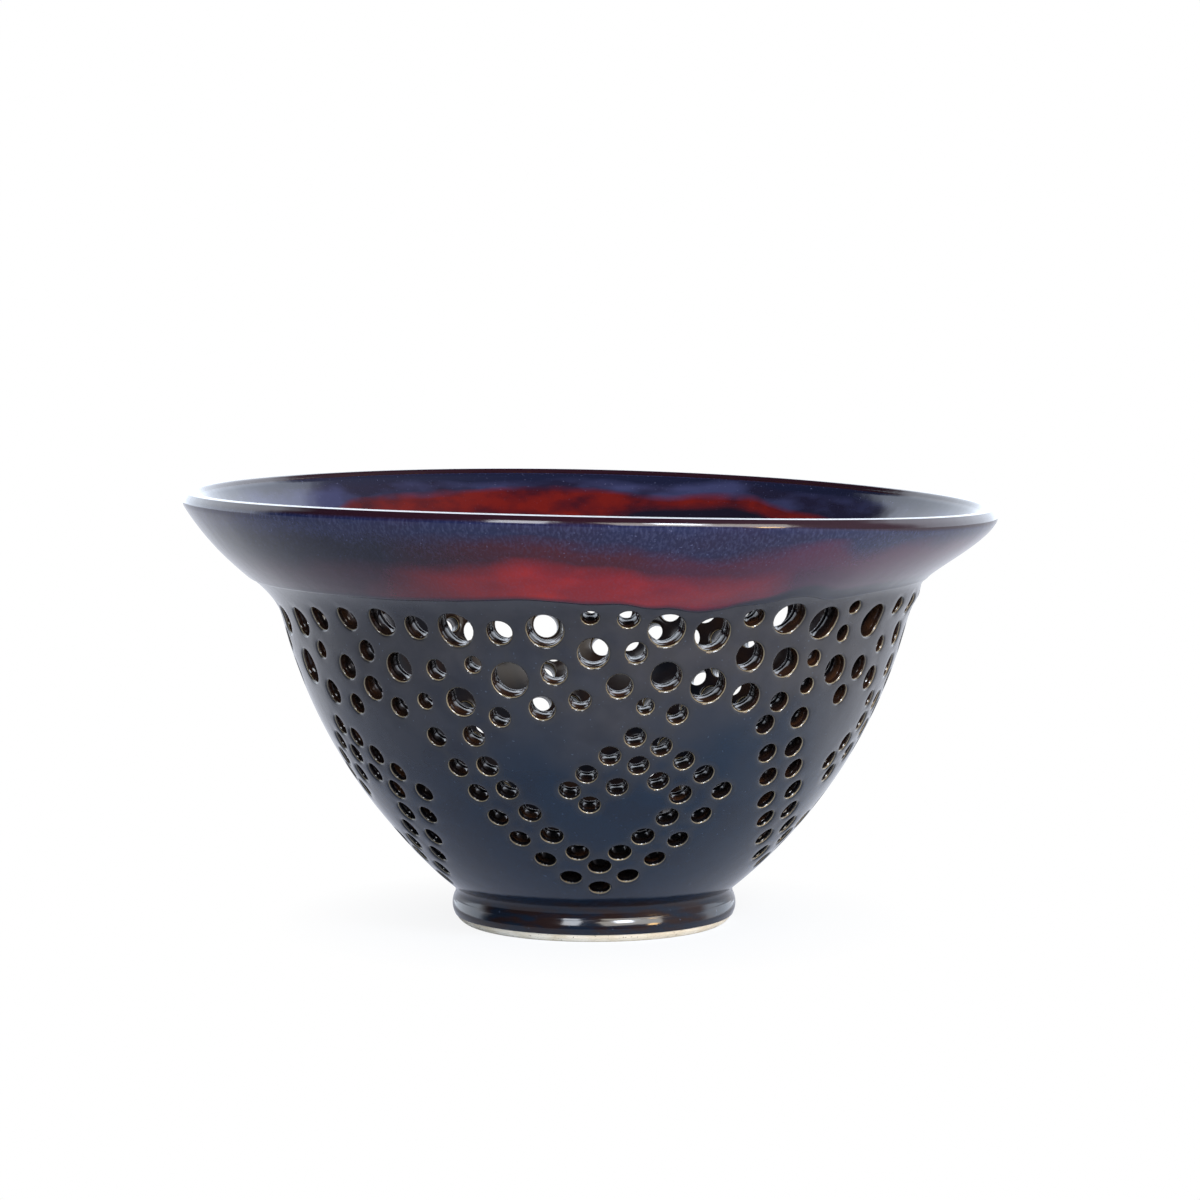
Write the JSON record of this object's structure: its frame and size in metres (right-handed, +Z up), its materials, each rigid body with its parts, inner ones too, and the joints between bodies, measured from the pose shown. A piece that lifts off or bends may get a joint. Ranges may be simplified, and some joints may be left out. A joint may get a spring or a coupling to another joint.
{
  "type": "berry bowl",
  "caption": "Wheel-thrown stoneware berry bowl with a pierced, steeply curved wall, a flared collar and a narrow foot ring, glazed inside and out.",
  "frame": {"origin": "centre of the foot ring's tread, on the table", "axes": "+Z up along the bowl's axis of turning, the pictured front towards -Y, +X to the right"},
  "size_m": [0.2, 0.2, 0.1045],
  "materials": {
    "stoneware_body": "fired tan stoneware, glazed over, showing through thinly at the hole edges",
    "bare_stoneware": "bare fired stoneware, matt",
    "dark_slate_glaze": "glossy slate blue to black glaze",
    "inner_slate_glaze": "glossy slate blue to black glaze",
    "red_blue_glaze": "glossy oxblood red glaze breaking to blue under the lip"
  },
  "bodies": {
    "root": {"clay_bowl": "stoneware_body", "foot_ring": "bare_stoneware", "outer_glaze": "dark_slate_glaze", "inner_glaze": "inner_slate_glaze", "rim_glaze": "red_blue_glaze"}
  },
  "joints": []
}
